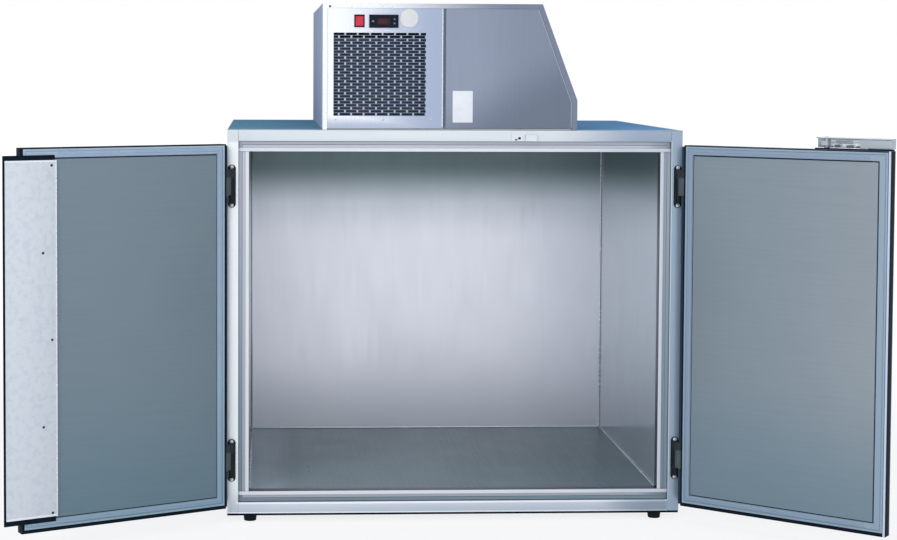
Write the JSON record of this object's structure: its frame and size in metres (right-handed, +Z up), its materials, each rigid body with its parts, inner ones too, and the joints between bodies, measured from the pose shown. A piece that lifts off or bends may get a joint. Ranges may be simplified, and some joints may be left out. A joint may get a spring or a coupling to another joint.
{
  "type": "keg cooler",
  "caption": "Insulated two-door cabinet that chills kegs, with hinged doors, a centre sealing strip, a lever latch and a refrigeration unit with a brick-slot grille on its roof.",
  "frame": {"origin": "centre of the cabinet's flat underside, midway between the doors; the feet reach 22 mm below it", "axes": "+Z up, the front with the doors faces -Y, +X to the right seen from the front"},
  "size_m": [2.151, 1.3518, 1.3423],
  "materials": {
    "bright_steel": "bright brushed stainless",
    "front_steel": "bright brushed stainless",
    "side_steel": "brushed stainless",
    "roof_steel": "brushed stainless with a blue cast",
    "liner_steel": "smooth stainless",
    "door_liner": "fine brushed",
    "door_skin": "satin dark edge",
    "light_plate": "satin light grey",
    "seal": "matte light blue-grey",
    "dark_seal": "matte black",
    "hinge_black": "satin black",
    "hinge_grey": "satin dark grey",
    "galvanised": "satin zinc grey",
    "foam": "rigid foam",
    "black_plastic": "satin black",
    "key_plastic": "satin dark grey",
    "fan_plastic": "matte dark grey",
    "red_plastic": "glossy red",
    "fins": "fine fins",
    "enamel": "black enamel"
  },
  "bodies": {
    "cabinet": {"rail_left": "front_steel", "rail_right": "front_steel", "rail_top": "front_steel", "rail_bottom": "front_steel", "casing_left": "side_steel", "casing_right": "side_steel", "casing_back": "side_steel", "casing_base": "galvanised", "casing_top": "roof_steel", "foam_jacket": "foam", "liner_left": "liner_steel", "liner_right": "liner_steel", "liner_back": "liner_steel", "liner_floor": "liner_steel", "liner_ceiling": "liner_steel", "foot_front_left": "black_plastic", "foot_front_right": "black_plastic", "foot_back_left": "black_plastic", "foot_back_right": "black_plastic", "left_door_lower_hinge_leaf": "hinge_black", "left_door_upper_hinge_leaf": "hinge_black", "right_door_lower_hinge_leaf": "hinge_black", "right_door_upper_hinge_leaf": "hinge_black", "latch_keeper": "bright_steel", "unit_base": "galvanised", "unit_hood": "bright_steel", "grille_panel": "bright_steel", "plain_panel": "side_steel", "unit_back_panel": "galvanised", "power_inlet": "black_plastic", "switch_bezel": "black_plastic", "controller_case": "black_plastic", "condenser_coil": "fins", "condenser_shroud": "galvanised", "compressor": "enamel", "evaporator_box": "foam", "evaporator_coil": "fins", "ceiling_grille": "galvanised"},
    "left_door": {"left_door_pan": "door_skin", "left_door_core": "foam", "left_door_seal": "seal", "left_door_liner": "door_liner", "astragal_seal": "dark_seal", "astragal_plate": "light_plate", "left_door_lower_hinge_wing": "hinge_grey", "left_door_upper_hinge_wing": "hinge_grey"},
    "right_door": {"right_door_pan": "door_skin", "right_door_core": "foam", "right_door_seal": "seal", "right_door_liner": "door_liner", "right_door_lower_hinge_wing": "hinge_grey", "right_door_upper_hinge_wing": "hinge_grey", "latch_bracket": "galvanised"},
    "latch": {"latch_lever": "bright_steel"},
    "rocker": {"power_rocker": "red_plastic"},
    "set_key": {"key_set": "key_plastic"},
    "up_key": {"key_up": "key_plastic"},
    "down_key": {"key_down": "key_plastic"},
    "warm_fan": {"condenser_fan": "fan_plastic"},
    "cold_fan": {"evaporator_fan": "fan_plastic"}
  },
  "joints": [
    {"name": "left_door_hinge", "type": "hinge", "parent": "cabinet", "child": "left_door", "pos_m": [-0.578, -0.492, 0.497], "axis": [0, 0, 1], "range_deg": [-6, 151.8]},
    {"name": "right_door_hinge", "type": "hinge", "parent": "cabinet", "child": "right_door", "pos_m": [0.578, -0.492, 0.497], "axis": [0, 0, -1], "range_deg": [-8, 139.9]},
    {"name": "latch_pivot", "type": "hinge", "parent": "right_door", "child": "latch", "pos_m": [0.89174, -0.74508, 0.976], "axis": [0, 0, 1], "range_deg": [0, 25], "stiffness_Nm_per_rad": 0.6},
    {"name": "power_switch", "type": "hinge", "parent": "cabinet", "child": "rocker", "pos_m": [-0.2514, -0.4803, 1.2751], "axis": [1, 0, 0], "range_deg": [-14, 0]},
    {"name": "set_key_slide", "type": "slide", "parent": "cabinet", "child": "set_key", "axis": [0, 1, 0], "range_m": [0, 0.0008], "stiffness_N_per_m": 300},
    {"name": "up_key_slide", "type": "slide", "parent": "cabinet", "child": "up_key", "axis": [0, 1, 0], "range_m": [0, 0.0008], "stiffness_N_per_m": 300},
    {"name": "down_key_slide", "type": "slide", "parent": "cabinet", "child": "down_key", "axis": [0, 1, 0], "range_m": [0, 0.0008], "stiffness_N_per_m": 300},
    {"name": "condenser_fan_spin", "type": "hinge", "parent": "cabinet", "child": "warm_fan", "pos_m": [-0.198, -0.3912, 1.1151], "axis": [0, 1, 0], "continuous": true},
    {"name": "evaporator_fan_spin", "type": "hinge", "parent": "cabinet", "child": "cold_fan", "pos_m": [0.11, -0.039, 0.9852], "axis": [0, 0, 1], "continuous": true}
  ]
}
